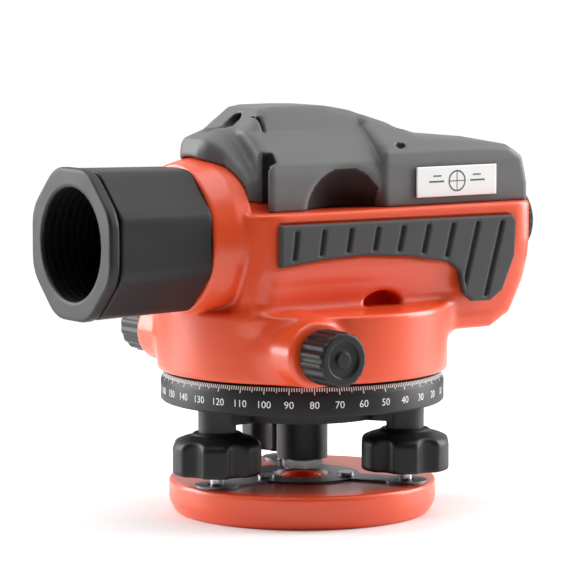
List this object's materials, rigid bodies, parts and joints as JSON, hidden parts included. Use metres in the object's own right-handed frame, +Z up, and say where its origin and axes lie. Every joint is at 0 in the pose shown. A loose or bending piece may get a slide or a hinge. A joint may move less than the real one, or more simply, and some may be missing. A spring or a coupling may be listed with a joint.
{
  "type": "automatic level",
  "caption": "Surveyor's self-levelling telescope on a three-screw base, with turning circle, tangent and focus drives, hanging compensator, dioptre eyepiece and bubble mirror.",
  "frame": {"origin": "centre of the tripod thread at the underside of the base plate", "axes": "+X along the line of sight towards the objective, +Y to the operator's left, +Z up the vertical axis"},
  "size_m": [0.195, 0.1308, 0.1482],
  "materials": {
    "painted_body": "satin",
    "cover_plastic": "fine grain",
    "grip_rubber": "matt",
    "knob_plastic": "satin",
    "black_metal": "satin",
    "steel": "turned",
    "spring_steel": "rolled",
    "brass": "turned",
    "aluminium": "anodised",
    "optical_glass": "polished",
    "vial_glass": "clear",
    "label_film": "printed",
    "mirror_silver": "silvered"
  },
  "bodies": {
    "base": {"base_plate": "painted_body", "foot_spring_plate": "spring_steel", "spring_plate_screws": "steel", "foot_ball_a": "steel", "foot_ball_b": "steel"},
    "swivel_ball": {"foot_ball_c": "steel"},
    "tribrach": {"tribrach": "black_metal", "foot_bushes": "brass", "axis_bush": "brass"},
    "foot_a": {"foot_spindle_a": "steel"},
    "knob_a": {"foot_knob_a": "knob_plastic"},
    "foot_b": {"foot_spindle_b": "steel"},
    "knob_b": {"foot_knob_b": "knob_plastic"},
    "foot_c": {"foot_spindle_c": "steel", "foot_knob_c": "knob_plastic"},
    "circle": {"horizontal_circle": "black_metal"},
    "clutch_gear": {"tangent_gear": "brass"},
    "alidade": {"main_housing": "painted_body", "axis_spindle": "steel", "axis_nut": "steel", "circle_index": "label_film", "top_cover": "cover_plastic", "cover_screws": "steel", "label_plate": "label_film", "grip_left": "grip_rubber", "grip_right": "grip_rubber", "tangent_bushes": "brass", "objective_cell": "black_metal", "objective_lens": "optical_glass", "sun_shade": "black_metal", "focus_guide": "black_metal", "focus_bush": "brass", "eyepiece_mount": "black_metal", "reticle_ring": "black_metal", "reticle": "optical_glass", "compensator_frame": "aluminium", "fixed_prisms": "optical_glass", "damper_magnets": "steel", "vial_holder": "black_metal", "vial_glass": "vial_glass", "vial_screws": "steel", "mirror_bracket": "black_metal"},
    "tangent_screw": {"tangent_shaft": "steel", "tangent_worm": "steel", "tangent_knob_left": "knob_plastic", "tangent_knob_right": "knob_plastic"},
    "focus_drive": {"focus_shaft": "steel", "focus_knob": "knob_plastic", "focus_knob_cap": "painted_body"},
    "focus_carriage": {"focus_carriage": "aluminium", "focusing_lens": "optical_glass"},
    "eyepiece": {"eyepiece_barrel": "black_metal", "eyepiece_lenses": "optical_glass"},
    "dioptre": {"dioptre_ring": "knob_plastic", "eye_cup": "grip_rubber"},
    "pendulum": {"pendulum": "aluminium", "pendulum_prism": "optical_glass", "suspension_ribbons": "spring_steel"},
    "mirror": {"mirror_frame": "knob_plastic", "mirror_glass": "mirror_silver"}
  },
  "joints": [
    {"name": "level_tilt_a", "type": "hinge", "parent": "base", "child": "swivel_ball", "pos_m": [-0.01669, -0.0358, 0.0083], "axis": [0.0872, -0.9962, 0], "range_deg": [-2.5, 2.5]},
    {"name": "level_tilt_b", "type": "hinge", "parent": "swivel_ball", "child": "tribrach", "pos_m": [-0.01669, -0.0358, 0.0083], "axis": [0.8192, 0.5736, 0], "range_deg": [-2.5, 2.5]},
    {"name": "foot_a_travel", "type": "slide", "parent": "tribrach", "child": "foot_a", "axis": [0, 0, -1], "range_m": [-0.0027, 0.0027]},
    {"name": "foot_a_turn", "type": "hinge", "parent": "foot_a", "child": "knob_a", "pos_m": [0.03935, 0.00344, 0.02], "axis": [0, 0, -1], "range_deg": [-640, 640]},
    {"name": "foot_b_travel", "type": "slide", "parent": "tribrach", "child": "foot_b", "axis": [0, 0, -1], "range_m": [-0.0027, 0.0027]},
    {"name": "foot_b_turn", "type": "hinge", "parent": "foot_b", "child": "knob_b", "pos_m": [-0.02266, 0.03236, 0.02], "axis": [0, 0, -1], "range_deg": [-640, 640]},
    {"name": "foot_c_turn", "type": "hinge", "parent": "tribrach", "child": "foot_c", "pos_m": [-0.01669, -0.0358, 0.02], "axis": [0, 0, -1], "range_deg": [-180, 180]},
    {"name": "circle_turn", "type": "hinge", "parent": "tribrach", "child": "circle", "pos_m": [0, 0, 0.0444], "axis": [0, 0, 1], "continuous": true},
    {"name": "coarse_turn", "type": "hinge", "parent": "tribrach", "child": "clutch_gear", "pos_m": [0, 0, 0.0632], "axis": [0, 0, 1], "continuous": true},
    {"name": "fine_turn", "type": "hinge", "parent": "clutch_gear", "child": "alidade", "pos_m": [0, 0, 0.0632], "axis": [0, 0, 1], "continuous": true},
    {"name": "tangent_turn", "type": "hinge", "parent": "alidade", "child": "tangent_screw", "pos_m": [0.028, 0, 0.0632], "axis": [0, 1, 0], "continuous": true},
    {"name": "focus_turn", "type": "hinge", "parent": "alidade", "child": "focus_drive", "pos_m": [-0.006, -0.04, 0.0935], "axis": [0, 1, 0], "range_deg": [-170, 170]},
    {"name": "focus_slide", "type": "slide", "parent": "alidade", "child": "focus_carriage", "axis": [1, 0, 0], "range_m": [-0.0089, 0.0089]},
    {"name": "eyepiece_slide", "type": "slide", "parent": "alidade", "child": "eyepiece", "axis": [1, 0, 0], "range_m": [-0.00099, 0.00099]},
    {"name": "dioptre_turn", "type": "hinge", "parent": "eyepiece", "child": "dioptre", "pos_m": [-0.09, 0, 0.1017], "axis": [1, 0, 0], "range_deg": [-150, 150]},
    {"name": "compensator_swing", "type": "hinge", "parent": "alidade", "child": "pendulum", "pos_m": [-0.044, 0, 0.1155], "axis": [0, 1, 0], "range_deg": [-1.5, 1.5]},
    {"name": "mirror_hinge", "type": "hinge", "parent": "alidade", "child": "mirror", "pos_m": [0.0325, -0.032, 0.0856], "axis": [0, 1, 0], "range_deg": [-45, 45]}
  ],
  "couplings": [
    {"joint": "foot_a_travel", "follows": "level_tilt_a", "m_per_rad": 0.05925},
    {"joint": "foot_a_turn", "follows": "level_tilt_a", "ratio": 248.19},
    {"joint": "foot_b_travel", "follows": "level_tilt_b", "m_per_rad": 0.05925},
    {"joint": "foot_b_turn", "follows": "level_tilt_b", "ratio": 248.19},
    {"joint": "tangent_turn", "follows": "fine_turn", "ratio": 96},
    {"joint": "focus_turn", "follows": "focus_slide", "rad_per_m": 333.33},
    {"joint": "dioptre_turn", "follows": "eyepiece_slide", "rad_per_m": 2631.6}
  ]
}
